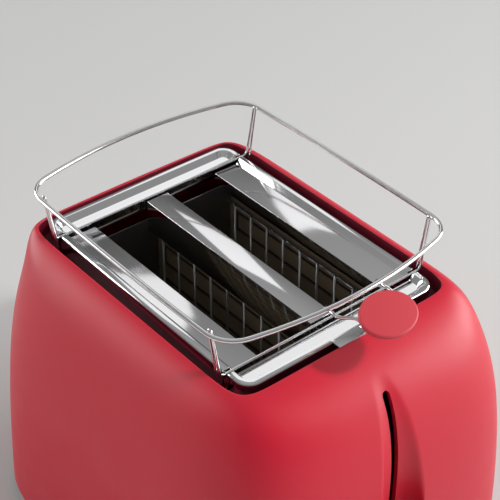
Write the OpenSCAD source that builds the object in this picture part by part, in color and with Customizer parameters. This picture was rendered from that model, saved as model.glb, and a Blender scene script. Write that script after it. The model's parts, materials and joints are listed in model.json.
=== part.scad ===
// Two-slot toaster with a lowering wire warming rack above the slots.
// Millimetres, +Z up, lever end towards +X, standing surface at Z = 0.

/* [Body shell] */
// Height of the lip above the standing surface
lip_z = 188; // [175:1:205]
// Half length of the lip's inner edge
lip_half_l = 89; // [86:0.5:94]
// Half width of the lip's inner edge
lip_half_w = 69; // [67:0.2:73]
// Flat width of the lip's top
lip_land = 0.8; // [0.5:0.1:1.5]
// How far the lever end swells out beyond the lip
flare_l = 44.4; // [40:0.2:50]
// How far the rear end swells out beyond the lip
flare_rear = 32.4; // [28:0.2:38]
// How far each long side swells out beyond the lip
flare_w = 31.4; // [28:0.2:36]
// Depth over which the ends swell
span_l = 19; // [16:1:24]
// Depth over which the long sides swell
span_w = 12.6; // [10:0.1:16]
// How far the foot of the shell tucks in again
tuck = 1.5; // [0.5:0.5:4]
// Wall thickness of the moulding
wall = 2.5; // [2:0.1:3.2]
// Height of the shell's bottom edge
skirt_z = 8; // [7:0.5:10]
// Depth of the channel floor below the lip
channel_d = 10; // [9:0.5:12]
// Thickness of the channel floor
channel_t = 2; // [1.6:0.2:3]
// Half width of the finger scoop in the lip
scoop_half_w = 17; // [13:1:18]
// Reach of the finger scoop beyond the lip
scoop_l = 10; // [8:0.5:13]
// Depth of the finger scoop below the lip
scoop_d = 6.4; // [5:0.2:7]

/* [Lever groove] */
// Radius of the upright groove in the end
groove_r = 17; // [16.5:0.5:19]
// How far the groove's axis lies outside the body's end
groove_out = 5.5; // [5:0.5:6.5]
// Lean of the groove towards the middle of the body
groove_tilt = 5.5; // [4.5:0.5:6]
// Height of the groove's round lower end
groove_z = 95; // [92:1:100]
// Width of the lever slot
lever_slot_w = 4; // [3.6:0.2:5]
// Drop from the lip to the top of the lever slot
lever_slot_drop = 16; // [15:0.5:18]

/* [Top trim] */
// Gap between lip and rim at the ends
channel_l = 3.7; // [3.4:0.1:5]
// Gap between lip and rim at the sides
channel_w = 6.5; // [6.2:0.1:7.5]
// Length of an end dish
dish_l = 13.9; // [12.5:0.1:16]
// Width of a side bar
bar_w = 21.5; // [20:0.5:24]
// Radius of the trim's outer corners
rim_r = 9; // [8:0.5:12]
// Rise of the rim above the lip
rim_rise = 1; // [0.5:0.5:3]
// Sheet thickness of the trim
sheet = 0.9; // [0.7:0.1:1.2]
// Radius over the rim's crest
crest_r = 1.6; // [1.2:0.1:2.2]
// Flat width of the rim's crest
crest_flat = 2; // [1.5:0.1:3]
// Depth of the dished pan below the rim
pan_d = 3; // [2:0.5:4]
// Run of the slope from crest to pan
pan_run = 2.6; // [2:0.2:3.5]
// Depth of the turned-down edge beside the opening
edge_d = 6; // [4:0.5:7]
// Gap between the trim pieces for a cross wire
wire_gap = 3.2; // [2.8:0.1:3.6]
// Half width of the divider between the slots
divider_half_w = 7; // [6:0.5:8]
// Half width of the tongue over the channel
tongue_half_w = 9; // [7:0.5:12]

/* [Warming rack] */
// Height of the rail above the lip
rail_rise = 29; // [27.5:0.5:33]
// How far the rail's short sides stand outside the lip
rail_out_l = 2; // [1:0.5:4]
// How far the rail's long sides stand outside the lip
rail_out_w = 4.5; // [4:0.1:5]
// Bow of the rail's short sides
bow_short = 11; // [8:0.5:13]
// Bow of the rail's long sides
bow_long = 1.5; // [1:0.1:2.4]
// Corner radius of the rail
rail_r = 17; // [14:1:20]
// Wire diameter of the rail
rail_d = 2.5; // [2.2:0.1:2.8]
// Wire diameter of legs, cross wires and arms
wire_d = 1.8; // [1.6:0.1:1.9]
// Length of the posts below the lip
post_l = 42; // [38:1:46]
// Half distance of the paddle's arms
arm_y = 16.5; // [15.8:0.1:18]
// Width of the paddle
paddle_w = 31.5; // [28:0.5:34]
// Length of the paddle along its slope
paddle_l = 24.5; // [22:0.5:27]
// Thickness of the paddle
paddle_t = 3.6; // [3:0.1:4]
// Downward tilt of the paddle
paddle_tilt = 20; // [16:1:24]

/* [Chassis and heaters] */
// Gap between a cross wire and the toasting chamber
wire_room = 2.5; // [2.4:0.1:3]
// Thickness of the chassis sheet
chassis_t = 0.8; // [0.6:0.1:1]
// Gap between the opening's edge and the outer guards
guard_room = 5; // [4:0.5:6]
// Gap between the outer guards and their heater cards
heater_room = 6; // [5:0.5:8]
// Thickness of a heater card
card_t = 1; // [0.8:0.1:1.2]

/* [Carriage and controls] */
// Travel of the bread carriage
lift_travel = 72; // [66:1:73]
// Diameter of the carriage guide rod
rod_d = 6; // [5:0.5:7]
// Radial clearance of the slider on its rod
rod_fit = 0.05; // [0.03:0.01:0.1]
// Thickness of the lever arm
arm_t = 3; // [2.4:0.1:3.2]
// Width of the lever knob
knob_w = 34; // [28:1:36]
// Diameter of the browning dial
dial_d = 30; // [26:1:32]
// Height of the dial's axis
dial_z = 31; // [29:0.5:33]
// Height of the row of buttons
button_z = 56; // [54:0.5:57]
// Spacing of the buttons
button_gap = 26; // [22:1:30]
// Width of a button
button_w = 14; // [12:0.5:16]
// Height of a button
button_h = 9; // [8:0.5:10]
// Clearance round a button
button_fit = 0.4; // [0.3:0.1:0.6]

// How far lever knob, dial and tray pull stand out from the body's ends
reach_out = 12; // [11:0.5:15]

/* [Base and tray] */
// Height of the crumb tray
tray_h = 8; // [6:0.5:9]
// Thickness of the base pan
pan_t = 3; // [2.4:0.2:3.4]
// Distance of the feet from the body's ends
foot_in_l = 41; // [38:0.5:46]
// Distance of the feet from the body's sides
foot_in_w = 24.6; // [22:0.2:28]
// Diameter of a foot
foot_d = 18; // [14:1:20]

/* [Hidden] */
$fn = 32;
slip = 0.3;
slices = 13;
around = 64;
square = 2.85;
square_lip = 14;
body_h = lip_z - skirt_z;
end_x = lip_half_l + lip_land + flare_l;
side_y = lip_half_w + lip_land + flare_w;
rear_x = lip_half_l + lip_land + flare_rear;
reach = end_x + reach_out;
reach_rear = rear_x + reach_out;
groove_x = end_x + groove_out;
rim_half_l = lip_half_l - channel_l;
rim_half_w = lip_half_w - channel_w;
opening_half_w = rim_half_w - bar_w;
rail_l = 2 * (lip_half_l + rail_out_l);
rail_w = 2 * (lip_half_w + rail_out_w);
leg_foot_y = rim_half_w + 3;
slot_y = (opening_half_w + divider_half_w) / 2;
guard_y = opening_half_w + guard_room;
guard_in_y = divider_half_w - 2;
card_y = guard_y + heater_room;
chassis_half_w = card_y + 5.5;
tray_half_w = chassis_half_w - 4.5;
foot_x = [end_x - foot_in_l, rear_x - foot_in_l];
foot_y = side_y - foot_in_w;
boss_x = [end_x - 25, rear_x - 25];
boss_y = side_y - 24.6;
gland_z = skirt_z + 36;
rim_z = lip_z + rim_rise;
rail_z = lip_z + rail_rise;
ledge_z = lip_z - channel_d;
pan_z = rim_z - pan_d;
floor_z = skirt_z + pan_t;
rim_run = crest_r + crest_flat + pan_run;
dish_x = rim_half_l - dish_l;
cross_x = dish_x - wire_gap / 2;
bar_x = cross_x - wire_gap / 2;
chamber_half_l = cross_x - wire_room;
plate_x = chamber_half_l + chassis_t;
slot_top_z = lip_z - lever_slot_drop;
arm_h = 6;
arm_z = slot_top_z - 1.2 - arm_h / 2 - lift_travel;
carriage_x = plate_x + 3.7;
carriage_t = 2;
rod_x = carriage_x + 12;
rod_y = 14;
bracket_z = 155;
block_z = 44;
block_h = 26;
lift_z = 38;
magnet_z = 33.7;
face_x = half_l(lip_z - button_z);
button_skirt = 7.2;
board_t = 1.6;
switch_h = 4;
switch_gap = 2.7;
board_x = face_x - button_skirt - switch_gap - 0.6 - switch_h - board_t;
magnet_x = rod_x + 11;
magnet_l = 16;
tray_z = floor_z + slip;
tray_front = chamber_half_l - 1.5;
tray_rear = rear_x - 15;
wire_r = wire_d / 2;
paddle_x = rail_l / 2 + 20.5;
paddle_z = rail_z + 1;
post_dx = wire_d + 0.6;
tint_red = [0.72, 0.06, 0.12];
tint_steel = [0.78, 0.79, 0.8];
tint_dark = [0.12, 0.12, 0.13];

// Sub-part to draw

function arm_seat(x) = paddle_z - (x - paddle_x) * tan(paddle_tilt)
    - (paddle_t / 2 + wire_r + 0.06) / cos(paddle_tilt);
function unit(v) = v / norm(v);
function swell(d, gain, span) = gain * (1 - exp(-pow(max(d, 0) / span, 1.1)));
function tuck_at(d) = tuck * pow(max(d - 0.6 * body_h, 0) / (0.4 * body_h), 2);
function half_rear(d) = lip_half_l + lip_land + swell(d, flare_rear, span_l) - tuck_at(d);
function half_l(d) = lip_half_l + lip_land + swell(d, flare_l, span_l) - tuck_at(d);
function half_w(d) = lip_half_w + lip_land + swell(d, flare_w, span_w) - tuck_at(d);
function squareness(d) = square + d / 80 + (square_lip - square) * exp(-d / 4.5);
function oval(a, rear, b, n) = [for (i = [0:around - 1]) let (t = 360 * i / around)
    [(cos(t) > 0 ? a : rear) * sign(cos(t)) * pow(abs(cos(t)), 2 / n),
        b * sign(sin(t)) * pow(abs(sin(t)), 2 / n)]];
function lift(flat, z) = [for (p = flat) [p[0], p[1], z]];
function body_rings(inset) = [for (i = [slices:-1:0]) let (d = body_h * pow(i / slices, 2))
    lift(oval(half_l(d) - inset, half_rear(d) - inset, half_w(d) - inset, squareness(d)), lip_z - d)];
function bend(a, b, c, r) = let (u = unit(a - b), v = unit(c - b), s = b + r * u, e = b + r * v)
    [for (t = [0:0.25:1]) (1 - t) * (1 - t) * s + 2 * t * (1 - t) * b + t * t * e];
function rounded(p, r) = [p[0], for (i = [1:len(p) - 2]) each bend(p[i - 1], p[i], p[i + 1], r[i - 1]),
    p[len(p) - 1]];
function headings(p) = [for (i = [0:len(p) - 1]) unit(p[min(i + 1, len(p) - 1)] - p[max(i - 1, 0)])];
function sideways(h) = [for (i = 0, n = unit(cross(h[0], [0.31, 0.82, 0.48])); i < len(h);
    i = i + 1, n = i < len(h) ? unit(n - (n * h[i]) * h[i]) : n) n];

module loft(rings) {
    n = len(rings[0]);
    m = len(rings);
    polyhedron(points = [for (r = rings) each r], faces = concat(
        [for (i = [0:m - 2], j = [0:n - 1])
            [i * n + j, (i + 1) * n + j, (i + 1) * n + (j + 1) % n, i * n + (j + 1) % n]],
        [[for (j = [0:n - 1]) j]],
        [[for (j = [n - 1:-1:0]) (m - 1) * n + j]]));
}

module tube(p, r, sides) {
    h = headings(p);
    n = sideways(h);
    loft([for (i = [0:len(p) - 1]) [for (k = [0:sides - 1]) let (a = 360 * k / sides)
        p[i] + r * (cos(a) * n[i] + sin(a) * cross(h[i], n[i]))]]);
}

module box(x0, x1, y0, y1, z0, z1) {
    translate([x0, y0, z0]) cube([x1 - x0, y1 - y0, z1 - z0]);
}

module upright(x, y, z0, z1, d) {
    translate([x, y, z0]) cylinder(d = d, h = z1 - z0);
}

module along_x(x0, x1, y, z, d) {
    translate([x0, y, z]) rotate([0, 90, 0]) cylinder(d = d, h = x1 - x0);
}

module each_corner(x, y) {
    for (sy = [-1, 1]) {
        translate([x[0], sy * y, 0]) children();
        translate([-x[1], sy * y, 0]) children();
    }
}

module placed() {
    translate([(reach_rear - reach) / 2, 0, 0]) children();
}

module groove(grow) {
    translate([groove_x, 0, groove_z]) {
        rotate([0, -groove_tilt, 0]) cylinder(r = groove_r + grow, h = lip_z, $fn = 60);
        sphere(r = groove_r + grow, $fn = 60);
    }
}

module scoop(grow) {
    translate([lip_half_l, 0, lip_z - scoop_d - grow]) rotate([0, 5, 0]) linear_extrude(20)
        scale([(scoop_l + grow) / (scoop_half_w + grow), 1]) circle(scoop_half_w + grow, $fn = 48);
}

module well(inset, z0, z1) {
    translate([0, 0, z0]) linear_extrude(z1 - z0)
        polygon(oval(lip_half_l - inset, lip_half_l - inset, lip_half_w - inset, squareness(0)));
}

module button_outline(grow) {
    hull() for (s = [-1, 1]) translate([0, s * (button_w - button_h) / 2]) circle(d = button_h + 2 * grow);
}

module button_place(i) {
    translate([0, i * button_gap, button_z]) rotate([0, 90, 0]) children();
}

module boss(d) {
    intersection() {
        loft(body_rings(wall / 2));
        each_corner(boss_x, boss_y) translate([0, 0, floor_z]) hull() {
            cylinder(d = d, h = 26);
            translate([0, 0, 20]) cylinder(d = d - 2, h = 6);
        }
    }
    for (sx = [0, 1], sy = [-1, 1]) mirror([sx, 0, 0]) intersection() {
        mirror([sx, 0, 0]) loft(body_rings(wall / 2));
        translate([0, 0, floor_z + 1]) linear_extrude(22) hull() {
            translate([boss_x[sx], sy * boss_y]) circle(d = 2.4);
            translate([boss_x[sx] + 16, sy * (boss_y + 12)]) circle(d = 2.4);
        }
    }
}

module body_shell() placed() color(tint_red) difference() {
    union() {
        difference() {
            loft(body_rings(0));
            difference() {
                translate([0, 0, -wall]) loft(body_rings(wall));
                groove(wall);
                scoop(wall);
            }
        }
        intersection() {
            loft(body_rings(0.4));
            well(-wall, ledge_z - channel_t, lip_z);
        }
        boss(9);
    }
    well(0, ledge_z, lip_z + 9);
    well(channel_w + 6, ledge_z - 9, lip_z);
    for (sx = [-1, 1], sy = [-1, 1]) translate([sx * (cross_x - post_dx / 2), sy * rim_half_w, ledge_z - 9])
        linear_extrude(12) hull() for (t = [-8, channel_w - 2.1]) translate([0, sy * t])
            square([post_dx + wire_d + 0.8, 4], center = true);
    groove(0);
    scoop(0);
    box(groove_x - groove_r - 14, groove_x, -lever_slot_w / 2, lever_slot_w / 2,
        arm_z - arm_h / 2 - 1.5, slot_top_z - lever_slot_w / 2);
    along_x(groove_x - groove_r - 14, groove_x, 0, slot_top_z - lever_slot_w / 2, lever_slot_w);
    for (i = [-1:1]) button_place(i) linear_extrude(reach) button_outline(button_fit);
    along_x(0, reach, 0, dial_z, 10);
    along_x(-reach, 0, 0, gland_z, 11.4);
    box(-reach, 0, -tray_half_w - 1, tray_half_w + 1, floor_z, tray_z + tray_h + 1.5);
    each_corner(boss_x, boss_y) translate([0, 0, -1]) cylinder(d = 3.4, h = 32);
}

module rim_profile() {
    translate([-sheet, ledge_z]) square([sheet, rim_z - crest_r - ledge_z]);
    translate([-crest_r, rim_z - crest_r]) intersection() {
        difference() {
            circle(crest_r);
            circle(crest_r - sheet);
        }
        square(crest_r);
    }
    translate([-crest_r - crest_flat, rim_z - sheet]) square([crest_flat, sheet]);
    polygon([[-crest_r - crest_flat, rim_z], [-rim_run, pan_z], [-rim_run, pan_z - sheet],
        [-crest_r - crest_flat, rim_z - sheet]]);
}

module bar_profile() {
    translate([rim_half_w, 0]) rim_profile();
    translate([opening_half_w, pan_z - sheet]) square([rim_half_w - rim_run - opening_half_w, sheet]);
    translate([opening_half_w, pan_z - edge_d]) square([sheet, edge_d]);
}

module dish() {
    flat = rim_half_l - rim_r;
    inner = rim_r - rim_run;
    translate([0, rim_half_w - rim_r, 0]) rotate([90, 0, 0]) linear_extrude(2 * (rim_half_w - rim_r))
        translate([rim_half_l, 0]) rim_profile();
    for (s = [0, 1]) mirror([0, s, 0]) {
        translate([flat, rim_half_w - rim_r, 0]) rotate_extrude(angle = 90) translate([rim_r, 0]) rim_profile();
        translate([dish_x, 0, 0]) rotate([90, 0, 90]) linear_extrude(flat - dish_x)
            translate([rim_half_w, 0]) rim_profile();
        translate([flat, rim_half_w - rim_r, pan_z - sheet]) intersection() {
            cylinder(r = inner, h = sheet);
            cube([inner, inner, sheet]);
        }
    }
    box(dish_x, flat, rim_r - rim_run - rim_half_w + rim_run - inner, rim_half_w - rim_run, pan_z - sheet, pan_z);
    box(flat, rim_half_l - rim_run, rim_r - rim_half_w, rim_half_w - rim_r, pan_z - sheet, pan_z);
    box(dish_x, dish_x + sheet, -rim_half_w + rim_run, rim_half_w - rim_run, pan_z - edge_d, pan_z);
}

module plate_front() placed() color(tint_steel) {
    dish();
    box(rim_half_l - crest_r - 0.2, rim_half_l + 5, -tongue_half_w, tongue_half_w, rim_z - sheet, rim_z);
}

module plate_rear() placed() color(tint_steel) mirror([1, 0, 0]) dish();

module plate_left() placed() color(tint_steel) translate([-bar_x, 0, 0]) rotate([90, 0, 90])
    linear_extrude(2 * bar_x) bar_profile();

module plate_right() placed() color(tint_steel) mirror([0, 1, 0]) translate([-bar_x, 0, 0]) rotate([90, 0, 90])
    linear_extrude(2 * bar_x) bar_profile();

module slot_divider() placed() color(tint_steel) difference() {
    box(-chamber_half_l, chamber_half_l, -divider_half_w, divider_half_w, ledge_z - 9, lip_z);
    box(-reach, reach, sheet - divider_half_w, divider_half_w - sheet, 0, lip_z - sheet);
}

function arc(c, r, from, to, n) = [for (i = [0:n - 1]) let (a = from + (to - from) * i / n)
    [c[0] + r * cos(a), c[1] + r * sin(a), rail_z]];

module hoop(p, r, sides) {
    m = len(p);
    rings = [for (i = [0:m - 1]) let (h = unit(p[(i + 1) % m] - p[(i + m - 1) % m]), n = cross([0, 0, 1], h))
        [for (k = [0:sides - 1]) let (a = 360 * k / sides) p[i] + r * (cos(a) * n + sin(a) * [0, 0, 1])]];
    polyhedron(points = [for (q = rings) each q], faces = [for (i = [0:m - 1], j = [0:sides - 1])
        let (k = (i + 1) % m, l = (j + 1) % sides)
        [i * sides + j, k * sides + j, k * sides + l, i * sides + l]]);
}

module rack_rail() placed() color(tint_steel) {
    big_s = (pow(rail_w / 2, 2) + pow(bow_short, 2)) / (2 * bow_short);
    big_l = (pow(rail_l / 2, 2) + pow(bow_long, 2)) / (2 * bow_long);
    cs = rail_l / 2 - big_s;
    cl = rail_w / 2 - big_l;
    gap = norm([cs, cl]);
    ds = big_s - rail_r;
    dl = big_l - rail_r;
    foot = (ds * ds - dl * dl + gap * gap) / (2 * gap);
    off = sqrt(ds * ds - foot * foot);
    corner = [cs, 0] + foot * [-cs, cl] / gap + off * [-cl, -cs] / gap;
    low = atan2(corner[1], corner[0] - cs);
    high = atan2(corner[1] - cl, corner[0]);
    hoop(concat(
        arc([cs, 0], big_s, -low, low, 10),
        arc(corner, rail_r, low, high, 8),
        arc([0, cl], big_l, high, 180 - high, 6),
        arc([-corner[0], corner[1]], rail_r, 180 - high, 180 - low, 8),
        arc([-cs, 0], big_s, 180 - low, 180 + low, 10),
        arc(-corner, rail_r, 180 + low, 180 + high, 8),
        arc([0, -cl], big_l, 180 + high, 360 - high, 6),
        arc([corner[0], -corner[1]], rail_r, 360 - high, 360 - low, 8)), rail_d / 2, 10);
}

module rack_cross(turned) placed() color(tint_steel) mirror([turned, 0, 0]) {
    top_y = rail_w / 2 - 1 - rail_d / 2 - wire_r;
    top_z = rail_z + 0.9;
    half = [[cross_x - post_dx, leg_foot_y, lip_z - post_l], [cross_x - post_dx, leg_foot_y, lip_z - 1],
        [cross_x - post_dx + 0.2, top_y, top_z], [cross_x - 0.2, top_y, top_z],
        [cross_x, leg_foot_y, lip_z]];
    whole = concat([for (p = half) [p[0], -p[1], p[2]]], [for (i = [4:-1:0]) half[i]]);
    tube(rounded(whole, [3, 0.95, 0.95, 3.2, 3.2, 0.95, 0.95, 3]), wire_r, 10);
}

module rack_cross_front() rack_cross(0);

module rack_cross_rear() rack_cross(1);

module rack_arm(s) placed() color(tint_steel) {
    z = rail_z - rail_d / 2 - wire_r - 0.05;
    x = rail_l / 2;
    tube(rounded([[x - 4.5, s * arm_y, z], [x + 5, s * arm_y, z], [x + 13, s * (arm_y - 3.5), arm_seat(x + 13)],
        [x + 24, s * (arm_y - 6), arm_seat(x + 24)]], [2, 2]), wire_r, 10);
}

module rack_arm_left() rack_arm(1);

module rack_arm_right() rack_arm(-1);

module rack_paddle() placed() color([0.8, 0.28, 0.3]) {
    translate([paddle_x, 0, paddle_z]) rotate([0, paddle_tilt, 0]) hull() {
        linear_extrude(paddle_t, center = true) scale([(paddle_l - 2.4) / (paddle_w - 2.4), 1])
            circle(d = paddle_w - 2.4, $fn = 40);
        linear_extrude(paddle_t - 1.8, center = true) scale([paddle_l / paddle_w, 1])
            circle(d = paddle_w, $fn = 40);
    }
}

module pan_outline(inset) {
    polygon(oval(half_l(body_h) - wall - inset, half_rear(body_h) - wall - inset,
        half_w(body_h) - wall - inset, squareness(body_h)));
}

module base_pan() placed() color(tint_dark) difference() {
    union() {
        translate([0, 0, skirt_z]) linear_extrude(pan_t) pan_outline(slip);
        for (s = [-1, 1]) box(board_x - 3, board_x + 4, s * 42 - 2, s * 42 + 2, floor_z, button_z - 6);
        box(magnet_x - 1, magnet_x + magnet_l + 1, -12, 12, floor_z, magnet_z - 20);
    }
    each_corner(foot_x, foot_y) translate([0, 0, skirt_z - 1]) cylinder(d = 7.2, h = pan_t + 2);
    each_corner(boss_x, boss_y) translate([0, 0, skirt_z - 1]) cylinder(d = 3.4, h = pan_t + 2);
}

module foot(x, y) placed() color(tint_dark) translate([x, y, 0]) {
    cylinder(d1 = foot_d - 2, d2 = foot_d, h = skirt_z);
    translate([0, 0, skirt_z]) cylinder(d = 7, h = pan_t);
}

module foot_front_left() foot(foot_x[0], foot_y);

module foot_front_right() foot(foot_x[0], -foot_y);

module foot_rear_left() foot(-foot_x[1], foot_y);

module foot_rear_right() foot(-foot_x[1], -foot_y);

module base_screws() placed() color(tint_steel) each_corner(boss_x, boss_y) {
    translate([0, 0, skirt_z - 2]) difference() {
        cylinder(d = 7, h = 2);
        translate([0, 0, -1]) for (a = [0, 90]) rotate([0, 0, a]) cube([4, 0.9, 3.6], center = true);
    }
    translate([0, 0, skirt_z]) cylinder(d = 3, h = 18);
}

module cord_gland() placed() color(tint_dark) {
    back = half_rear(lip_z - gland_z);
    difference() {
        union() {
            along_x(-back - 3, -back + 6, 0, gland_z, 11);
            along_x(-back - 3, -back - 0.5, 0, gland_z, 15);
        }
        along_x(-reach, 0, 0, gland_z, 6.5);
    }
}

module crumb_tray() placed() color(tint_steel) difference() {
    box(-tray_rear, tray_front, -tray_half_w, tray_half_w, tray_z, tray_z + tray_h);
    box(-tray_rear + sheet, tray_front - sheet, sheet - tray_half_w, tray_half_w - sheet,
        tray_z + sheet, tray_z + tray_h + 1);
}

module crumb_tray_pull() placed() color(tint_dark) {
    high = tray_z + tray_h + 5;
    near = half_rear(lip_z - high) + 0.7;
    side = half_w(lip_z - high) + 0.7;
    n = squareness(lip_z - high);
    translate([0, 0, tray_z]) difference() {
        intersection() {
            linear_extrude(tray_h + 5) polygon(oval(near + 3, near + 3, side + 3, n));
            box(-reach, 30 - near, -tray_half_w - 4, tray_half_w + 4, 0, 40);
        }
        translate([0, 0, -1]) linear_extrude(40) polygon(oval(near, near, side, n));
    }
    box(-near - 0.5, -tray_rear, 12 - tray_half_w, tray_half_w - 12, tray_z, tray_z + tray_h - 1);
    box(-reach_rear, -near - 1, -24, 24, tray_z + tray_h + 1, high);
}

module chassis(s) placed() color(tint_steel) difference() {
    box(s > 0 ? chamber_half_l : -plate_x, s > 0 ? plate_x : -chamber_half_l, -chassis_half_w, chassis_half_w,
        floor_z, ledge_z - 2);
    box(-reach, reach, -tray_half_w - 1, tray_half_w + 1, 0, tray_z + tray_h + 3);
    for (y = [-slot_y, slot_y]) box(-reach, reach, y - 2.2, y + 2.2, lift_z - 8, lift_z + lift_travel + 4);
}

module chassis_front() chassis(1);

module chassis_rear() chassis(-1);

module rod_bracket() placed() color(tint_steel) difference() {
    union() {
        for (s = [-1, 1]) box(plate_x, rod_x + 7, s * rod_y - 6.5, s * rod_y + 6.5, bracket_z, bracket_z + 1.5);
        box(plate_x, plate_x + 1, -rod_y - 6.5, rod_y + 6.5, bracket_z - 9, bracket_z + 1.5);
    }
    upright(rod_x, rod_y, bracket_z - 1, bracket_z + 3, rod_d + 0.1);
}

module reflector(s) placed() color(tint_steel)
    box(-chamber_half_l, chamber_half_l, s * (card_y + 3.4) - 0.3, s * (card_y + 3.4) + 0.3, 28, ledge_z - 8);

module reflector_left() reflector(1);

module reflector_right() reflector(-1);

module heater_card(y) placed() color([0.75, 0.66, 0.5])
    box(-chamber_half_l, chamber_half_l, y - card_t / 2, y + card_t / 2, 34, ledge_z - 12);

module heater_card_left() heater_card(card_y);

module heater_card_centre() heater_card(0);

module heater_card_right() heater_card(-card_y);

module ribbon(y, s) placed() color([0.45, 0.35, 0.3]) {
    near = y + s * card_t / 2;
    y0 = min(near, near + s * 0.4);
    rows = 11;
    pitch = (ledge_z - 12 - 34 - 16) / (rows - 1);
    end = chamber_half_l - 5.5;
    for (i = [0:rows - 1]) box(-end, end, y0, y0 + 0.4, 42 + i * pitch, 43.6 + i * pitch);
    for (i = [0:rows - 2]) mirror([i % 2, 0, 0]) box(end - 1.6, end, y0, y0 + 0.4, 42 + i * pitch, 43.6 + (i + 1) * pitch);
}

module heater_ribbon_left() ribbon(card_y, -1);

module heater_ribbon_centre_left() ribbon(0, 1);

module heater_ribbon_centre_right() ribbon(0, -1);

module heater_ribbon_right() ribbon(-card_y, 1);

module guard(y, s) placed() color(tint_steel) {
    for (i = [-4:4]) upright(i * chamber_half_l / 4.8, y, 30, ledge_z - 10, 1.4);
    for (z = [32, 100, ledge_z - 11]) along_x(-chamber_half_l, chamber_half_l, y + s * 1.1, z, 1.8);
}

module guard_outer_left() guard(guard_y, 1);

module guard_inner_left() guard(guard_in_y, -1);

module guard_inner_right() guard(-guard_in_y, 1);

module guard_outer_right() guard(-guard_y, -1);

module guide_rod() placed() color(tint_steel) upright(rod_x, rod_y, floor_z, bracket_z + 4, rod_d);

module lift_spring() placed() color(tint_steel) {
    low = block_z + 6;
    high = bracket_z - 0.2;
    turns = 13;
    tube([for (i = [0:turns * 9]) let (a = 40 * i)
        [rod_x + 4 * cos(a), -rod_y + 4 * sin(a), low + 0.6 + (high - low - 1.2) * i / (turns * 9)]], 0.5, 6);
}

module electromagnet() placed() color([0.5, 0.3, 0.15]) {
    box(magnet_x, magnet_x + magnet_l, -9, 9, magnet_z - 20, magnet_z - 17);
    box(magnet_x + 1, magnet_x + 5, -5, 5, magnet_z - 17, magnet_z);
    box(magnet_x + 11, magnet_x + 15, -5, 5, magnet_z - 17, magnet_z);
    upright(magnet_x + 8, 0, magnet_z - 17, magnet_z - 3, 13);
}

module control_board() placed() color([0.1, 0.35, 0.18])
    box(board_x, board_x + board_t, -40, 40, floor_z + 2, button_z + 10);

module button_switches() placed() color(tint_dark) for (i = [-1:1]) {
    box(board_x + board_t, board_x + board_t + switch_h, i * button_gap - 3, i * button_gap + 3,
        button_z - 3, button_z + 3);
    along_x(board_x + board_t + switch_h, board_x + board_t + switch_h + 0.6, i * button_gap, button_z, 3);
}

module dial_pot() placed() color(tint_dark) difference() {
    union() {
        box(board_x + board_t, board_x + board_t + 5, -8, 8, dial_z - 8, dial_z + 8);
        along_x(board_x + board_t + 5, board_x + board_t + 8, 0, dial_z, 8.6);
    }
    along_x(board_x + board_t + 1, reach, 0, dial_z, 6.1);
}

module dial_shaft() placed() color(tint_steel) along_x(board_x + board_t + 1.3, reach - 4, 0, dial_z, 6);

module dial_knob() placed() color(tint_red) difference() {
    union() {
        along_x(face_x + 0.6, reach - 1.2, 0, dial_z, dial_d);
        translate([reach - 1.2, 0, dial_z]) rotate([0, 90, 0]) cylinder(d1 = dial_d, d2 = dial_d - 2.4, h = 1.2);
    }
    for (a = [0:15:345]) rotate_about_dial(a) along_x(face_x + 2.5, reach + 1, 0, dial_z + dial_d / 2 + 0.6, 2.4);
    box(reach - 0.6, reach + 1, -0.6, 0.6, dial_z + 5, dial_z + dial_d / 2 - 2.4);
    along_x(0, reach - 4, 0, dial_z, 6);
}

module rotate_about_dial(a) {
    translate([0, 0, dial_z]) rotate([a, 0, 0]) translate([0, 0, -dial_z]) children();
}

module button(i) placed() color(tint_red) {
    tip = face_x - button_skirt;
    button_place(i) {
        translate([0, 0, face_x - 6]) linear_extrude(7) button_outline(0);
        translate([0, 0, face_x + 1]) linear_extrude(0.8) button_outline(-0.8);
        translate([0, 0, tip]) linear_extrude(2) button_outline(1.6);
    }
}

module button_cancel() button(-1);

module button_reheat() button(0);

module button_defrost() button(1);

module carriage_plate() placed() color(tint_steel) difference() {
    union() {
        box(carriage_x, carriage_x + carriage_t, -30, 30, lift_z - 2, block_z + block_h + 8);
        box(carriage_x, carriage_x + carriage_t, -4, 4, block_z + block_h, arm_z + arm_h / 2);
        box(carriage_x, rod_x + 7, rod_y - 7, rod_y + 7, block_z, block_z + block_h);
        box(carriage_x, rod_x + 7, -rod_y - 6.5, -rod_y + 6.5, block_z + 4, block_z + 6);
    }
    upright(rod_x, rod_y, 0, lip_z, rod_d + 2 * rod_fit);
}

module lever_arm() placed() color(tint_steel)
    box(carriage_x + carriage_t, reach - 7, -arm_t / 2, arm_t / 2, arm_z - arm_h / 2, arm_z + arm_h / 2);

module knob_slice(x, l, w, h) {
    translate([x, 0, arm_z]) rotate([0, 90, 0]) linear_extrude(l) scale([h / w, 1]) circle(d = w, $fn = 40);
}

module lever_knob() placed() color(tint_red) difference() {
    hull() {
        knob_slice(reach - 13, 8, knob_w - 9, 11);
        knob_slice(reach - 8, 5.6, knob_w, 13);
        knob_slice(reach - 8, 8, knob_w - 5, 9);
    }
    box(0, reach - 7, -arm_t / 2, arm_t / 2, arm_z - arm_h / 2, arm_z + arm_h / 2);
}

module bread_lift(y) placed() color(tint_steel) {
    box(5.5 - chamber_half_l, chamber_half_l - 5.5, y - 10, y + 10, lift_z, lift_z + 1);
    box(-plate_x - 5, carriage_x, y - 1.5, y + 1.5, lift_z - 5, lift_z);
}

module bread_lift_left() bread_lift(slot_y);

module bread_lift_right() bread_lift(-slot_y);

module latch_armature() placed() color(tint_steel)
    box(carriage_x + carriage_t, magnet_x + magnet_l, -7, 7, magnet_z + 0.3, magnet_z + 2.3);

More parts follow.
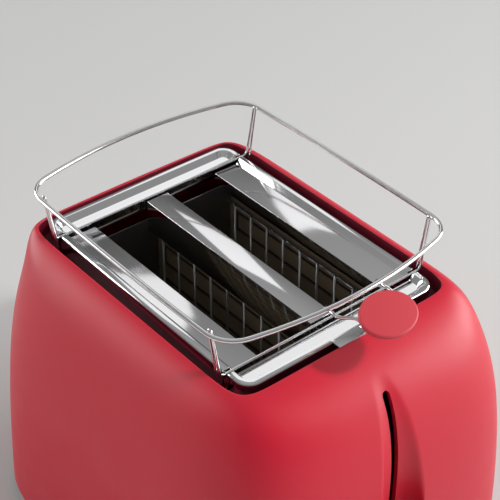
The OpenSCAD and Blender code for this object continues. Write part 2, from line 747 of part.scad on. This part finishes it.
body_shell();
plate_front();
plate_rear();
plate_left();
plate_right();
slot_divider();
rack_rail();
rack_cross_front();
rack_cross_rear();
rack_arm_left();
rack_arm_right();
rack_paddle();
base_pan();
foot_front_left();
foot_front_right();
foot_rear_left();
foot_rear_right();
base_screws();
cord_gland();
crumb_tray();
crumb_tray_pull();
chassis_front();
chassis_rear();
rod_bracket();
reflector_left();
reflector_right();
heater_card_left();
heater_card_centre();
heater_card_right();
heater_ribbon_left();
heater_ribbon_centre_left();
heater_ribbon_centre_right();
heater_ribbon_right();
guard_outer_left();
guard_inner_left();
guard_inner_right();
guard_outer_right();
guide_rod();
lift_spring();
electromagnet();
control_board();
button_switches();
dial_pot();
lever_knob();
lever_arm();
carriage_plate();
bread_lift_left();
bread_lift_right();
latch_armature();
dial_knob();
dial_shaft();
button_cancel();
button_reheat();
button_defrost();
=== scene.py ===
import json
import math

import bpy
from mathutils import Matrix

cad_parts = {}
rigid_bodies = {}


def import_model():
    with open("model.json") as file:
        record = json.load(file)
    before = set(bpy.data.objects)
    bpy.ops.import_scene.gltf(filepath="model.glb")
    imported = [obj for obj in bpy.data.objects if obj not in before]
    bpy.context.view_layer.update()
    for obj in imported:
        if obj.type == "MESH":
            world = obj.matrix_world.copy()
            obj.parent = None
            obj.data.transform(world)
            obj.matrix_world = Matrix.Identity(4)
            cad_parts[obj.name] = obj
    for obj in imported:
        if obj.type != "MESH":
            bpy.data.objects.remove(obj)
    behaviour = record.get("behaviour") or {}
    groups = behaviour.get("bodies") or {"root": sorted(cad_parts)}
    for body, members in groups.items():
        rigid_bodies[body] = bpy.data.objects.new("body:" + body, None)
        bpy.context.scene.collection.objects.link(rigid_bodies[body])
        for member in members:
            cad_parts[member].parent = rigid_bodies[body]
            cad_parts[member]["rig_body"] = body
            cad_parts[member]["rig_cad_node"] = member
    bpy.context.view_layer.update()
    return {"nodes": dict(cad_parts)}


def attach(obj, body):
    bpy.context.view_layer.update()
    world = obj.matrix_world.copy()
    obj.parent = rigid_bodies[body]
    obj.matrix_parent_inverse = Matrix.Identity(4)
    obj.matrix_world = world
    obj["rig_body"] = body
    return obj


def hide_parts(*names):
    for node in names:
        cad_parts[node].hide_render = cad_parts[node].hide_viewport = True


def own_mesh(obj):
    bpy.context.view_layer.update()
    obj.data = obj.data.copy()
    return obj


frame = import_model()
nodes = frame["nodes"]
mm = 0.001
centreX = -6.0  # middle of the trim in the frame
print("frame loaded:", len(nodes), "nodes")


# small helpers used by every piece

def pickOnly(piece):
    if bpy.context.object and bpy.context.object.mode != "OBJECT":
        bpy.ops.object.mode_set(mode="OBJECT")
    bpy.ops.object.select_all(action="DESELECT")
    piece.select_set(True)
    bpy.context.view_layer.objects.active = piece


def applyAll(piece):
    pickOnly(piece)
    for name in [m.name for m in piece.modifiers]:
        bpy.ops.object.modifier_apply(modifier=name)


def settle(piece):  # puts the place of a primitive into its mesh
    pickOnly(piece)
    bpy.ops.object.transform_apply(location=True, rotation=True, scale=True)


def smooth(piece, angle):
    pickOnly(piece)
    bpy.ops.object.shade_smooth_by_angle(angle=math.radians(angle))


def softEdges(piece, width, segments=2, angle=32):
    edge = piece.modifiers.new("edges", "BEVEL")
    edge.width = width
    edge.segments = segments
    edge.limit_method = "ANGLE"
    edge.angle_limit = math.radians(angle)
    applyAll(piece)


def belong(piece, nodeName, material):
    piece.data.materials.clear()
    piece.data.materials.append(material)
    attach(piece, nodes[nodeName]["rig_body"])
    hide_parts(nodeName)


copies = {"weld": 0.000004, "flat": 1}  # metres between points that are one, degrees between faces that are one


def copyOfNode(nodeName, material, edge, angle, slim=0.0):
    pickOnly(nodes[nodeName])
    bpy.ops.object.duplicate()
    piece = bpy.context.object
    piece.parent = None
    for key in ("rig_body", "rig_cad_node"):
        if key in piece:
            del piece[key]
    piece.name = nodeName + "Finish"
    bpy.ops.object.mode_set(mode="EDIT")
    bpy.ops.mesh.select_all(action="SELECT")
    bpy.ops.mesh.remove_doubles(threshold=copies["weld"])
    if edge:
        bpy.ops.mesh.dissolve_limited(angle_limit=math.radians(copies["flat"]))
    if slim:
        bpy.ops.transform.shrink_fatten(value=-slim)
    bpy.ops.object.mode_set(mode="OBJECT")
    if edge:
        softEdges(piece, edge)
    smooth(piece, angle)
    belong(piece, nodeName, material)
    return piece


# materials

finishes = {
    "shellRed": {"colour": (0.5, 0.006, 0.024), "rough": 0.42, "gloss": 0.6, "grain": 900, "bump": 0.01},
    # painted shade: the next finish is a darker red that stands in for the shade in the channel round the trim
    "channelShadeRed": {"colour": (0.13, 0.005, 0.016), "rough": 0.45, "grain": 1200, "bump": 0.04},
    "satinRed": {"colour": (0.49, 0.04, 0.053), "rough": 0.42, "grain": 2600, "bump": 0.06},
    "trimSteel": {"colour": (0.78, 0.78, 0.79), "rough": 0.09, "metal": 1.0, "grain": 700, "bump": 0.006},
    "brightWire": {"colour": (0.86, 0.86, 0.87), "rough": 0.14, "metal": 1.0, "grain": 1500, "bump": 0.02},
    "innerSteel": {"colour": (0.36, 0.36, 0.37), "rough": 0.34, "metal": 1.0, "grain": 500, "bump": 0.03},
    "blackPlastic": {"colour": (0.014, 0.014, 0.015), "rough": 0.48, "grain": 2200, "bump": 0.15},
    "blackRubber": {"colour": (0.012, 0.012, 0.012), "rough": 0.75, "grain": 1500, "bump": 0.2},
    "mica": {"colour": (0.2, 0.155, 0.1), "rough": 0.5, "grain": 260, "bump": 0.1},
    "ribbonSteel": {"colour": (0.16, 0.12, 0.1), "rough": 0.45, "metal": 1.0, "grain": 800, "bump": 0.05},
    "boardGreen": {"colour": (0.015, 0.13, 0.05), "rough": 0.4, "grain": 600, "bump": 0.05},
    "copperCoil": {"colour": (0.36, 0.13, 0.05), "rough": 0.35, "metal": 1.0, "grain": 1800, "bump": 0.2},
}

grains = {"detail": 3, "depth": 0.0005}
wear = {"scale": 38, "detail": 5, "from": 0.3, "to": 0.75, "least": 0.92, "most": 1.16}  # handling marks


def makeFinish(name, s):
    material = bpy.data.materials.new(name)
    material.use_nodes = True
    tree = material.node_tree
    shader = tree.nodes["Principled BSDF"]
    shader.inputs["Base Color"].default_value = (*s["colour"], 1)
    shader.inputs["Metallic"].default_value = s.get("metal", 0.0)
    shader.inputs["Roughness"].default_value = s["rough"]
    shader.inputs["Specular IOR Level"].default_value = s.get("gloss", 0.5)
    place = tree.nodes.new("ShaderNodeTexCoord")
    grain = tree.nodes.new("ShaderNodeTexNoise")
    grain.inputs["Scale"].default_value = s["grain"]
    grain.inputs["Detail"].default_value = grains["detail"]
    tree.links.new(place.outputs["Object"], grain.inputs["Vector"])
    bump = tree.nodes.new("ShaderNodeBump")
    bump.inputs["Strength"].default_value = s["bump"]
    bump.inputs["Distance"].default_value = grains["depth"]
    tree.links.new(grain.outputs["Fac"], bump.inputs["Height"])
    tree.links.new(bump.outputs["Normal"], shader.inputs["Normal"])
    worn = tree.nodes.new("ShaderNodeTexNoise")  # larger than the grain, changes the roughness only
    worn.inputs["Scale"].default_value = wear["scale"]
    worn.inputs["Detail"].default_value = wear["detail"]
    tree.links.new(place.outputs["Object"], worn.inputs["Vector"])
    spread = tree.nodes.new("ShaderNodeMapRange")
    spread.inputs["From Min"].default_value = wear["from"]
    spread.inputs["From Max"].default_value = wear["to"]
    spread.inputs["To Min"].default_value = s["rough"] * wear["least"]
    spread.inputs["To Max"].default_value = s["rough"] * wear["most"]
    tree.links.new(worn.outputs["Fac"], spread.inputs["Value"])
    tree.links.new(spread.outputs["Result"], shader.inputs["Roughness"])
    return material


looks = {name: makeFinish(name, s) for name, s in finishes.items()}
print("materials made:", len(looks))


# body shell: one skin from the channel floor over the lip and down the outside, in millimetres from the trim's middle

shell = {
    "lipZ": 188, "lipHalfL": 89, "lipHalfW": 69, "land": 0.8, "height": 180, "wall": 2.4,
    "flareFront": 45.7, "flareRear": 34.5, "flareW": 31.4,  # how far each side swells out beyond the lip
    "spanFront": 24.2, "spanRear": 48, "spanW": 28.5, "bend": 0.75,  # depth over which it swells
    "tuck": 1.5, "tuckFrom": 0.6,  # how far the foot draws in again, and from which share of the height
    "square": 6, "squareLow": 5.1, "squareLip": 14, "squareSpan": 8, "fade": 4,  # power of the outline
    "bowFront": 5, "bowRear": 14.5, "bowSpan": 12, "bowReach": 60,  # how far the ends stand out in the middle
    "ledgeZ": 178, "ledgeInset": 12.5,
    "wellFoot": ((1.2, 0), (0.35, 0.35), (0, 1.2)),  # inset, height above the channel floor
    "wellLip": ((0, 4), (0, 0.9), (-0.12, 0.35), (-0.45, 0.04)),  # inset, depth below the lip
    "grooveR": 17, "grooveZ": 95, "grooveTop": 177, "grooveDepth": 9.4, "grooveSoft": 1.0, "grooveFromX": 90,
    "slotW": 4.6, "slotLow": 91.3, "slotTop": 172, "angle": 38,
}
mesh = {
    "rows": 48, "crowd": 2, "innerRows": 20, "innerCrowd": 1.6, "underLedge": 0.6,
    "closeRows": range(-2, 16), "closeStep": 1.2, "rowGap": 0.5,  # closer rows round the end of the groove
    "grooveTurn": 17, "grooveStep": 0.5, "cornerFrom": 28, "cornerTo": 48, "cornerStep": 0.6, "step": 2.0,
    "fullTurn": 359.9,  # degrees
    "draftR": 0.1, "draftStep": 0.004,  # rings before they take their outlines
}


def halfSize(depth, lip, flare, span):
    s = shell
    low = max(depth - s["tuckFrom"] * s["height"], 0) / ((1 - s["tuckFrom"]) * s["height"])
    grown = 1 - math.exp(-((max(depth, 0) / span) ** s["bend"]))
    return lip + s["land"] + flare * grown - s["tuck"] * low * low


def onOutline(turn, front, rear, half, power, bow):  # point of the soft rectangle in one direction
    c, d = math.cos(turn), math.sin(turn)
    end = front if c > 0 else rear
    r = (abs(c / end) ** power + abs(d / half) ** power) ** (-1 / power)
    x, y = r * c, r * d
    bowed = bow * (shell["bowFront"] if c > 0 else shell["bowRear"])
    x -= math.copysign(bowed * (y / half) ** 2 * min(abs(x) / shell["bowReach"], 1), x)
    return x, y


def pressGroove(x, y, z, grow):  # the lever groove grows from nothing at its top into a round hollow
    s = shell
    size = s["grooveR"] + grow
    inside = size ** 2 - y * y - max(s["grooveZ"] - z, 0) ** 2
    if x < s["grooveFromX"] or inside <= 0 or z > s["grooveTop"]:
        return x
    level = max(z, s["grooveZ"])
    sunk = s["grooveDepth"] * (s["grooveTop"] - level) / (s["grooveTop"] - s["grooveZ"])
    face = halfSize(s["lipZ"] - level, s["lipHalfL"], s["flareFront"], s["spanFront"])
    floor = face - sunk + s["grooveR"] - math.sqrt(inside)
    k = s["grooveSoft"]
    h = min(max(0.5 + 0.5 * (floor - x) / k, 0), 1)
    return floor * (1 - h) + x * h - k * h * (1 - h)


def outsideRow(depth, wall):
    s = shell
    low = (depth / s["height"]) ** s["fade"]  # the form goes over into the base's outline near the foot
    power = s["square"] + (s["squareLow"] - s["square"]) * low
    power += (s["squareLip"] - s["square"]) * math.exp(-depth / s["squareSpan"])
    bow = (1 - math.exp(-depth / s["bowSpan"])) * (1 - low)
    return (halfSize(depth, s["lipHalfL"], s["flareFront"], s["spanFront"]) - wall,
            halfSize(depth, s["lipHalfL"], s["flareRear"], s["spanRear"]) - wall,
            halfSize(depth, s["lipHalfW"], s["flareW"], s["spanW"]) - wall, power, bow, s["lipZ"] - depth, wall)


def wellRow(inset, z):
    s = shell
    end = s["lipHalfL"] - inset
    return (end, end, s["lipHalfW"] - inset, s["squareLip"], 0, z, None)


def withRows(depths, extra):
    gap = mesh["rowGap"]
    kept = [d for d in depths if d < extra[0] - gap or d > extra[-1] + gap]
    return sorted(kept + extra)


def shellRows():
    s, m = shell, mesh
    rows = [wellRow(s["ledgeInset"], s["ledgeZ"])]
    rows += [wellRow(inset, s["ledgeZ"] + up) for inset, up in s["wellFoot"]]
    rows += [wellRow(inset, s["lipZ"] - down) for inset, down in s["wellLip"]]
    hollowEnd = [s["lipZ"] - s["grooveZ"] + m["closeStep"] * i for i in m["closeRows"]]
    depths = [s["height"] * (i / m["rows"]) ** m["crowd"] for i in range(m["rows"] + 1)]
    rows += [outsideRow(depth, 0) for depth in withRows(depths, hollowEnd)]
    low = s["lipZ"] - s["ledgeZ"] + s["wall"] + m["underLedge"]
    depths = [low + (s["height"] - low) * (i / m["innerRows"]) ** m["innerCrowd"] for i in range(m["innerRows"] + 1)]
    for depth in reversed(withRows(depths, hollowEnd)):  # back up the inside to the underside of the ledge
        rows.append(outsideRow(depth, s["wall"]))
    rows.append(wellRow(s["ledgeInset"], s["ledgeZ"] - s["wall"]))
    return rows


def shellTurns():  # closer together over the groove and round the corners
    m = mesh
    turns = []
    at = 0.0
    while at < m["fullTurn"]:
        turns.append(at)
        fold = abs((at + 180) % 360 - 180)
        side = min(fold, 180 - fold)
        if fold < m["grooveTurn"]:
            at += m["grooveStep"]
        elif m["cornerFrom"] < side < m["cornerTo"]:
            at += m["cornerStep"]
        else:
            at += m["step"]
    return turns


def makeShell():
    rows = shellRows()
    turns = shellTurns()
    bpy.ops.object.select_all(action="DESELECT")
    bpy.ops.mesh.primitive_circle_add(vertices=len(turns), radius=mesh["draftR"])
    piece = bpy.context.object
    piece.name = "bodyShell"
    bpy.ops.object.mode_set(mode="EDIT")
    bpy.ops.mesh.select_all(action="SELECT")
    for row in rows[1:]:
        bpy.ops.mesh.extrude_region_move(TRANSFORM_OT_translate={"value": (0, 0, -mesh["draftStep"])})
    bpy.ops.object.mode_set(mode="OBJECT")
    rings = len(turns)
    for v in piece.data.vertices:  # each ring of the extrusion takes its own outline
        front, rear, half, power, bow, z, grow = rows[v.index // rings]
        x, y = onOutline(math.radians(turns[v.index % rings]), front, rear, half, power, bow)
        if grow is not None:
            x = pressGroove(x, y, z, grow)
        v.co = ((x + centreX) * mm, y * mm, z * mm)
    piece.data.update()
    pickOnly(piece)
    bpy.ops.object.mode_set(mode="EDIT")
    bpy.ops.mesh.select_mode(type="EDGE")
    bpy.ops.mesh.select_all(action="DESELECT")
    bpy.ops.mesh.select_non_manifold()
    bpy.ops.mesh.bridge_edge_loops()
    bpy.ops.mesh.select_all(action="SELECT")
    bpy.ops.mesh.normals_make_consistent(inside=False)
    bpy.ops.object.mode_set(mode="OBJECT")
    return piece


shellPiece = makeShell()
print("shell skin:", len(shellPiece.data.polygons), "faces")


# what is cut out of the shell, with x again from the trim's middle

cuts = {
    "slotX": (105, 126),
    "buttonX": (122, 150), "buttonZ": 56, "buttonGap": 26, "buttonW": 14.8, "buttonH": 9.8,
    "dialX": (125, 150), "dialZ": 31, "dialHole": 10,
    "glandX": (-140, -110), "glandZ": 44, "glandHole": 11.4,
    "trayX": (-140, -96), "trayHalfW": 54, "trayZ": (11, 20.8),
    "legX": 68.6, "legW": 5, "legNear": 52.5, "legFar": 68.9, "legZ": (170, 181),
    "sides": 40, "midline": 0.00001,
}


def boxCutter(x0, x1, y0, y1, z0, z1):
    bpy.ops.object.select_all(action="DESELECT")
    place = ((x0 + x1) / 2 + centreX) * mm, (y0 + y1) / 2 * mm, (z0 + z1) / 2 * mm
    bpy.ops.mesh.primitive_cube_add(size=1, location=place)
    cutter = bpy.context.object
    bpy.ops.transform.resize(value=((x1 - x0) * mm, (y1 - y0) * mm, (z1 - z0) * mm))
    settle(cutter)
    return cutter


def roundCutter(x0, x1, y, z, size, stretch=0.0):
    bpy.ops.object.select_all(action="DESELECT")
    bpy.ops.mesh.primitive_cylinder_add(vertices=cuts["sides"], radius=size / 2 * mm, depth=(x1 - x0) * mm,
                                        location=(((x0 + x1) / 2 + centreX) * mm, y * mm, z * mm),
                                        rotation=(0, math.pi / 2, 0))
    cutter = bpy.context.object
    settle(cutter)
    if stretch:  # pulled apart into an oval with straight sides
        for step in (1, -1):
            bpy.ops.object.mode_set(mode="EDIT")
            bpy.ops.mesh.select_all(action="DESELECT")
            bpy.ops.object.mode_set(mode="OBJECT")
            for v in cutter.data.vertices:
                v.select = (v.co.y - y * mm) * step > cuts["midline"]
            bpy.ops.object.mode_set(mode="EDIT")
            bpy.ops.mesh.select_mode(type="VERT")
            bpy.ops.transform.translate(value=(0, step * stretch / 2 * mm, 0))
        bpy.ops.object.mode_set(mode="OBJECT")
    return cutter


def cutShell(piece):
    c = cuts
    slotHalf = shell["slotW"] / 2
    slotEnd = shell["slotTop"] - slotHalf
    cutters = [boxCutter(*c["slotX"], -slotHalf, slotHalf, shell["slotLow"], slotEnd),
               roundCutter(*c["slotX"], 0, slotEnd, shell["slotW"]),
               roundCutter(*c["dialX"], 0, c["dialZ"], c["dialHole"]),
               roundCutter(*c["glandX"], 0, c["glandZ"], c["glandHole"]),
               boxCutter(*c["trayX"], -c["trayHalfW"], c["trayHalfW"], *c["trayZ"])]
    for i in (-1, 0, 1):
        stretch = c["buttonW"] - c["buttonH"]
        cutters.append(roundCutter(*c["buttonX"], i * c["buttonGap"], c["buttonZ"], c["buttonH"], stretch))
    for sx in (-1, 1):
        legX = sx * c["legX"]
        for sy in (-1, 1):
            legY = sorted((sy * c["legNear"], sy * c["legFar"]))
            cutters.append(boxCutter(legX - c["legW"] / 2, legX + c["legW"] / 2, *legY, *c["legZ"]))
    for cutter in cutters:
        cut = piece.modifiers.new("cut", "BOOLEAN")
        cut.operation = "DIFFERENCE"
        cut.solver = "EXACT"
        cut.object = cutter
        applyAll(piece)
        bpy.data.objects.remove(cutter)


cutShell(shellPiece)
smooth(shellPiece, shell["angle"])
belong(shellPiece, "body_shell", looks["shellRed"])

channel = {"reach": 1.03, "under": 1, "stop": 0.6}  # where the painted shade goes: share of the lip's outline, mm below the floor and the lip


def paintChannelShade(piece):  # painted shade: the well round the trim lies in a darker red, which stands in for the shade that falls in the channel
    s, c = shell, channel
    piece.data.materials.append(looks["channelShadeRed"])
    for face in piece.data.polygons:
        x, y, z = (v / mm for v in face.center)
        reach = (abs(x - centreX) / s["lipHalfL"]) ** s["squareLip"] + (abs(y) / s["lipHalfW"]) ** s["squareLip"]
        if reach < c["reach"] and s["ledgeZ"] - c["under"] < z < s["lipZ"] - c["stop"]:
            face.material_index = 1


# paints shade into the channel as a darker red on the shell's faces there
paintChannelShade(shellPiece)
print("shell cut:", len(shellPiece.data.polygons), "faces")


# polished trim and the divider

trim = {"edge": 0.22, "angle": 40}
for name in ("plate_front", "plate_rear", "plate_left", "plate_right", "slot_divider"):
    copyOfNode(name, looks["trimSteel"], trim["edge"] * mm, trim["angle"])
print("trim done")


# warming rack

rack = {"slim": 0.2, "angle": 70}  # the cross wires are drawn thinner, so that their hairpins stand apart
for name in ("rack_rail", "rack_arm_left", "rack_arm_right"):
    copyOfNode(name, looks["brightWire"], 0, rack["angle"])
for name in ("rack_cross_front", "rack_cross_rear"):
    copyOfNode(name, looks["brightWire"], 0, rack["angle"], rack["slim"] * mm)

paddle = {"x": 105.5, "z": 218, "tilt": 20, "w": 31.5, "l": 24.5, "t": 2.6, "sides": 72, "round": 0.9,
          "roundSteps": 5, "roundAngle": 50, "angle": 60}


def makePaddle():
    p = paddle
    bpy.ops.object.select_all(action="DESELECT")
    bpy.ops.mesh.primitive_cylinder_add(vertices=p["sides"], radius=0.5 * mm, depth=p["t"] * mm)
    piece = bpy.context.object
    piece.name = "rackPaddle"
    bpy.ops.transform.resize(value=(p["l"], p["w"], 1))
    settle(piece)
    softEdges(piece, p["round"] * mm, p["roundSteps"], p["roundAngle"])
    piece.rotation_euler = (0, math.radians(p["tilt"]), 0)
    piece.location = (p["x"] * mm, 0, p["z"] * mm)
    settle(piece)
    smooth(piece, p["angle"])
    belong(piece, "rack_paddle", looks["satinRed"])


makePaddle()
print("rack done")


# lever knob, dial, buttons

knob = {"x0": 127.2, "x1": 140.2, "z": 95.8, "w": 34, "h": 13, "parts": 3, "waistW": 0.72, "waistH": 0.86, "widen": 1.6,
        "round": 3.4, "roundSteps": 4, "angle": 60}


def makeKnob():
    k = knob
    bpy.ops.object.select_all(action="DESELECT")
    bpy.ops.mesh.primitive_cube_add(size=1, location=((k["x0"] + k["x1"]) / 2 * mm, 0, k["z"] * mm))
    piece = bpy.context.object
    piece.name = "leverKnob"
    bpy.ops.transform.resize(value=((k["x1"] - k["x0"]) * mm, k["w"] * mm, k["h"] * mm))
    settle(piece)
    bpy.ops.object.mode_set(mode="EDIT")
    bpy.ops.mesh.select_all(action="SELECT")
    bpy.ops.mesh.subdivide(number_cuts=k["parts"])
    bpy.ops.object.mode_set(mode="OBJECT")
    for v in piece.data.vertices:  # waisted towards the slot
        along = (v.co.x / mm - k["x0"]) / (k["x1"] - k["x0"])
        full = min(along * k["widen"], 1)
        v.co.y *= k["waistW"] + (1 - k["waistW"]) * full
        v.co.z = k["z"] * mm + (v.co.z - k["z"] * mm) * (k["waistH"] + (1 - k["waistH"]) * full)
    piece.data.update()
    softEdges(piece, k["round"] * mm, k["roundSteps"], k["angle"])
    smooth(piece, k["angle"])
    belong(piece, "lever_knob", looks["satinRed"])


makeKnob()
controls = {"dialEdge": 0.35, "buttonEdge": 0.3, "angle": 40}
copyOfNode("dial_knob", looks["satinRed"], controls["dialEdge"] * mm, controls["angle"])
for name in ("button_cancel", "button_reheat", "button_defrost"):
    copyOfNode(name, looks["satinRed"], controls["buttonEdge"] * mm, controls["angle"])
print("controls done")


# base, feet, tray

base = {"panEdge": 0.4, "rubberEdge": 0.5, "trayEdge": 0.15, "angle": 40}
for name in ("base_pan", "crumb_tray_pull"):
    copyOfNode(name, looks["blackPlastic"], base["panEdge"] * mm, base["angle"])
for name in ("foot_front_left", "foot_front_right", "foot_rear_left", "foot_rear_right", "cord_gland"):
    copyOfNode(name, looks["blackRubber"], base["rubberEdge"] * mm, base["angle"])
copyOfNode("crumb_tray", looks["innerSteel"], base["trayEdge"] * mm, base["angle"])
print("base done")


# inside: wires, rods and the spring are copied, and the rest keep their own solids

wires = {"angle": 50}
for name in ("guard_outer_left", "guard_inner_left", "guard_inner_right", "guard_outer_right", "guide_rod",
             "base_screws", "dial_shaft"):
    copyOfNode(name, looks["innerSteel"], 0, wires["angle"])
springPiece = copyOfNode("lift_spring", looks["innerSteel"], 0, wires["angle"])
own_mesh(springPiece)
inner = {
    "chassis_front": "innerSteel", "chassis_rear": "innerSteel", "rod_bracket": "innerSteel",
    "reflector_left": "innerSteel", "reflector_right": "innerSteel", "heater_card_left": "mica",
    "heater_card_centre": "mica", "heater_card_right": "mica", "heater_ribbon_left": "ribbonSteel",
    "heater_ribbon_centre_left": "ribbonSteel", "heater_ribbon_centre_right": "ribbonSteel",
    "heater_ribbon_right": "ribbonSteel", "electromagnet": "copperCoil", "control_board": "boardGreen",
    "button_switches": "blackPlastic", "dial_pot": "blackPlastic", "lever_arm": "innerSteel",
    "carriage_plate": "innerSteel", "bread_lift_left": "innerSteel", "bread_lift_right": "innerSteel",
    "latch_armature": "innerSteel",
}
for name, finish in inner.items():
    nodes[name].data.materials.clear()
    nodes[name].data.materials.append(looks[finish])
print("inside done")


# floor, light and camera

studio = {"floor": (0.56, 0.56, 0.55), "floorRough": 0.9, "floorSize": 40,
          "edge": 0.2, "edgeTop": 0.14, "low": 0.06, "high": 0.4, "middle": (0, 0, 0.15)}
lamps = {
    "leftBox": {"place": (-3.0, -1.4, 0.85), "size": (2.4, 1.8), "power": 60},
    "rightBox": {"place": (1.12, 2.4, 0.87), "size": (2.4, 1.6), "power": 76},
    "topBox": {"place": (0.95, 0.45, 1.37), "size": (0.1, 0.1), "power": 15, "mirrored": False},  # the paddle's shadow
    "fillBox": {"place": (-0.3, -1.6, 0.9), "size": (1.6, 1.2), "power": 8, "mirrored": False},
    "backBox": {"place": (-1.02, 0.83, 1.1), "size": (0.45, 0.8), "power": 0.9},
}


def makeLamp(name, s):
    bpy.ops.object.select_all(action="DESELECT")
    bpy.ops.object.light_add(type="AREA", location=s["place"])
    light = bpy.context.object
    light.name = name
    light.data.shape = "RECTANGLE"
    light.data.size, light.data.size_y = s["size"]
    light.data.energy = s["power"]
    light.visible_glossy = s.get("mirrored", True)
    aim = [t - p for t, p in zip(studio["middle"], s["place"])]
    flat = math.hypot(aim[0], aim[1])
    light.rotation_euler = (math.atan2(flat, -aim[2]), 0, math.atan2(aim[1], aim[0]) - math.pi / 2)


bpy.ops.object.select_all(action="DESELECT")
bpy.ops.mesh.primitive_plane_add(size=studio["floorSize"], location=(0, 0, 0))
floor = bpy.context.object
floor.name = "floor"
paper = bpy.data.materials.new("paleFloor")
paper.use_nodes = True
paperShader = paper.node_tree.nodes["Principled BSDF"]
paperShader.inputs["Base Color"].default_value = (*studio["floor"], 1)
paperShader.inputs["Roughness"].default_value = studio["floorRough"]
floor.data.materials.append(paper)

sky = bpy.data.worlds.new("studio")
bpy.context.scene.world = sky
sky.use_nodes = True
skyTree = sky.node_tree
skyPlace = skyTree.nodes.new("ShaderNodeTexCoord")
skySplit = skyTree.nodes.new("ShaderNodeSeparateXYZ")
skyLevel = skyTree.nodes.new("ShaderNodeMapRange")  # dim at the horizon, lighter overhead
skyLevel.inputs["To Min"].default_value = studio["low"]
skyLevel.inputs["To Max"].default_value = studio["high"]
skyTree.links.new(skyPlace.outputs["Generated"], skySplit.inputs["Vector"])
skyTree.links.new(skySplit.outputs["Z"], skyLevel.inputs["Value"])
skyEdge = skyTree.nodes.new("ShaderNodeMapRange")  # a pale band where the floor ends
skyEdge.inputs["From Max"].default_value = studio["edgeTop"]
skyEdge.inputs["To Min"].default_value = studio["edge"]
skyEdge.inputs["To Max"].default_value = 0
skyTree.links.new(skySplit.outputs["Z"], skyEdge.inputs["Value"])
skySum = skyTree.nodes.new("ShaderNodeMath")
skyTree.links.new(skyLevel.outputs["Result"], skySum.inputs[0])
skyTree.links.new(skyEdge.outputs["Result"], skySum.inputs[1])
skyTree.links.new(skySum.outputs["Value"], skyTree.nodes["Background"].inputs["Strength"])
skyTree.nodes["Background"].inputs["Color"].default_value = (1, 1, 1, 1)
for name, s in lamps.items():
    makeLamp(name, s)

shot = {"azimuth": 50.9, "elevation": 34.9, "distance": 0.7279, "railZ": 0.217, "lens": 103.2,
        "sensor": 36, "shiftX": 0.0306, "shiftY": -0.0838, "nearest": 0.02}
turn, rise = math.radians(shot["azimuth"]), math.radians(shot["elevation"])
back = (math.sin(turn) * math.cos(rise), -math.cos(turn) * math.cos(rise), math.sin(rise))
bpy.ops.object.select_all(action="DESELECT")
bpy.ops.object.camera_add(location=(centreX * mm + back[0] * shot["distance"], back[1] * shot["distance"],
                                    shot["railZ"] + back[2] * shot["distance"]),
                          rotation=(math.pi / 2 - rise, 0, turn))
camera = bpy.context.object
camera.data.lens = shot["lens"]
camera.data.sensor_width = shot["sensor"]
camera.data.shift_x = shot["shiftX"]
camera.data.shift_y = shot["shiftY"]
camera.data.clip_start = shot["nearest"]
bpy.context.scene.camera = camera
bpy.context.scene.view_settings.view_transform = "Standard"
print("studio set")
